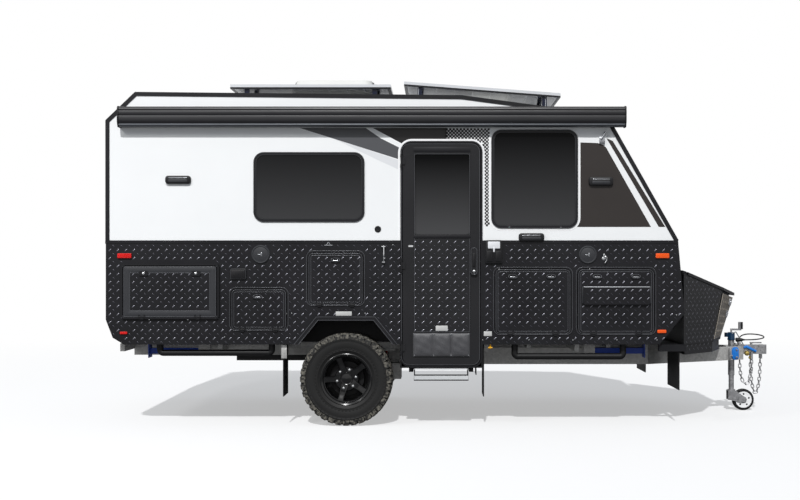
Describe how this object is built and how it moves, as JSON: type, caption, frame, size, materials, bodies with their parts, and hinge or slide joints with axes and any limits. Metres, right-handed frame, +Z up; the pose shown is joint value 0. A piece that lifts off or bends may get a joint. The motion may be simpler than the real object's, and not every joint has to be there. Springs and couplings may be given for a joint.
{
  "type": "off-road travel trailer",
  "caption": "Off-road travel trailer with a hollow sandwich-panel cabin, tread-plate cladding, entry door, drop hatches, awning, front toolbox, road wheels and a swivelling jockey wheel.",
  "frame": {"origin": "on the ground under the middle of the box, on the trailer's centre plane", "axes": "+X forwards to the coupling, +Z up, the door side at -Y"},
  "size_m": [6.017, 2.392, 3.115],
  "materials": {
    "white_panel": "gloss",
    "tread_plate": "satin black, raised lozenges",
    "black_trim": "satin",
    "glass": "tinted",
    "galvanised": "galvanised",
    "chassis_black": "satin",
    "black_plastic": "matt",
    "awning_skin": "satin",
    "solar_cell": "gloss",
    "roof_plastic": "matt",
    "tyre": "matt",
    "rim": "gloss black",
    "rubber": "matt",
    "vinyl": "soft satin",
    "lamp": "gloss",
    "damper_red": "gloss",
    "blue_paint": "gloss",
    "zinc_steel": "zinc plated",
    "cable": "matt"
  },
  "bodies": {
    "trailer": {"chassis_rails": "galvanised", "cross_members": "galvanised", "drawbar_rails": "galvanised", "floor_panel": "black_plastic", "entry_well": "chassis_black", "wall_near": "white_panel", "wall_far": "white_panel", "rear_wall": "white_panel", "roof_panel": "white_panel", "front_wall": "white_panel", "wheel_housings": "black_plastic", "cladding_near": "tread_plate", "cladding_far": "tread_plate", "edge_trim": "black_trim", "window_frames": "black_trim", "window_panes": "glass", "hatch_frames": "black_trim", "door_frame": "black_trim", "toolbox_shell": "tread_plate", "awning_case": "awning_skin", "solar_panels": "solar_cell", "roof_units": "roof_plastic", "side_rails": "chassis_black", "mudflaps": "rubber", "front_flaps": "rubber", "side_lamps": "lamp", "wall_fittings": "black_plastic", "suspension_arms": "zinc_steel", "suspension_struts": "damper_red", "water_tanks": "black_plastic", "coupling_head": "zinc_steel", "jockey_tube": "zinc_steel", "safety_chains": "zinc_steel", "tow_lead": "cable", "lead_plug": "cable"},
    "wheel_near": {"tyre_near": "tyre", "rim_near": "rim"},
    "wheel_far": {"tyre_far": "tyre", "rim_far": "rim"},
    "door": {"door_leaf": "black_trim", "door_pane": "glass", "door_pouch": "vinyl"},
    "table_hatch": {"table_hatch": "tread_plate"},
    "hatch_low": {"hatch_low": "tread_plate"},
    "hatch_mid": {"hatch_mid": "tread_plate"},
    "hatch_fore": {"hatch_fore": "tread_plate"},
    "hatch_front": {"hatch_front": "tread_plate"},
    "hatch_far_rear": {"hatch_far_rear": "tread_plate"},
    "hatch_far_front": {"hatch_far_front": "tread_plate"},
    "toolbox_lid": {"toolbox_lid": "tread_plate"},
    "step": {"step": "chassis_black"},
    "jockey_leg": {"jockey_leg": "zinc_steel"},
    "jockey_fork": {"jockey_fork": "zinc_steel"},
    "jockey_wheel": {"jockey_wheel": "rubber"},
    "leg_rear_near": {"leg_rear_near": "blue_paint"},
    "leg_rear_far": {"leg_rear_far": "blue_paint"},
    "leg_front_near": {"leg_front_near": "blue_paint"},
    "leg_front_far": {"leg_front_far": "blue_paint"}
  },
  "joints": [
    {"name": "wheel_near_turn", "type": "hinge", "parent": "trailer", "child": "wheel_near", "pos_m": [-0.93828, -0.967, 0.402], "axis": [0, 1, 0], "continuous": true},
    {"name": "wheel_far_turn", "type": "hinge", "parent": "trailer", "child": "wheel_far", "pos_m": [-0.93828, 0.967, 0.402], "axis": [0, 1, 0], "continuous": true},
    {"name": "door_swing", "type": "hinge", "parent": "trailer", "child": "door", "pos_m": [-0.45634, -1.149, 1.4], "axis": [0, 0, -1], "range_deg": [0, 165]},
    {"name": "table_hatch_drop", "type": "hinge", "parent": "trailer", "child": "table_hatch", "pos_m": [-2.4454, -1.158, 0.94503], "axis": [1, 0, 0], "range_deg": [0, 90]},
    {"name": "hatch_low_drop", "type": "hinge", "parent": "trailer", "child": "hatch_low", "pos_m": [-1.68438, -1.144, 0.83885], "axis": [1, 0, 0], "range_deg": [0, 90]},
    {"name": "hatch_mid_drop", "type": "hinge", "parent": "trailer", "child": "hatch_mid", "pos_m": [-1.02532, -1.144, 1.05338], "axis": [-1, 0, 0], "range_deg": [-90, 0]},
    {"name": "hatch_fore_drop", "type": "hinge", "parent": "trailer", "child": "hatch_fore", "pos_m": [0.67081, -1.144, 0.80418], "axis": [1, 0, 0], "range_deg": [0, 90]},
    {"name": "hatch_front_drop", "type": "hinge", "parent": "trailer", "child": "hatch_front", "pos_m": [1.38458, -1.144, 0.80418], "axis": [1, 0, 0], "range_deg": [0, 90]},
    {"name": "hatch_far_rear_drop", "type": "hinge", "parent": "trailer", "child": "hatch_far_rear", "pos_m": [-2.20416, 1.144, 0.85402], "axis": [-1, 0, 0], "range_deg": [0, 90]},
    {"name": "hatch_far_front_drop", "type": "hinge", "parent": "trailer", "child": "hatch_far_front", "pos_m": [0.9792, 1.144, 0.85402], "axis": [-1, 0, 0], "range_deg": [0, 90]},
    {"name": "toolbox_lid_lift", "type": "hinge", "parent": "trailer", "child": "toolbox_lid", "pos_m": [2.0133, 0, 1.33447], "axis": [0, -1, 0], "range_deg": [0, 50]},
    {"name": "step_slide", "type": "slide", "parent": "trailer", "child": "step", "axis": [0, -1, 0], "range_m": [0, 0.28]},
    {"name": "jockey_leg_slide", "type": "slide", "parent": "trailer", "child": "jockey_leg", "axis": [0, 0, 1], "range_m": [-0.1, 0.125]},
    {"name": "jockey_fork_swivel", "type": "hinge", "parent": "jockey_leg", "child": "jockey_fork", "pos_m": [2.6645, 0, 0.19], "axis": [0, 0, 1], "continuous": true},
    {"name": "jockey_wheel_turn", "type": "hinge", "parent": "jockey_fork", "child": "jockey_wheel", "pos_m": [2.7745, 0, 0.102], "axis": [0, 1, 0], "continuous": true},
    {"name": "leg_rear_near_drop", "type": "hinge", "parent": "trailer", "child": "leg_rear_near", "pos_m": [-2.20416, -0.85, 0.634], "axis": [0, -1, 0], "range_deg": [0, 80]},
    {"name": "leg_rear_far_drop", "type": "hinge", "parent": "trailer", "child": "leg_rear_far", "pos_m": [-2.20416, 0.85, 0.634], "axis": [0, -1, 0], "range_deg": [0, 80]},
    {"name": "leg_front_near_drop", "type": "hinge", "parent": "trailer", "child": "leg_front_near", "pos_m": [1.18811, -0.85, 0.634], "axis": [0, 1, 0], "range_deg": [0, 80]},
    {"name": "leg_front_far_drop", "type": "hinge", "parent": "trailer", "child": "leg_front_far", "pos_m": [1.18811, 0.85, 0.634], "axis": [0, 1, 0], "range_deg": [0, 80]}
  ]
}
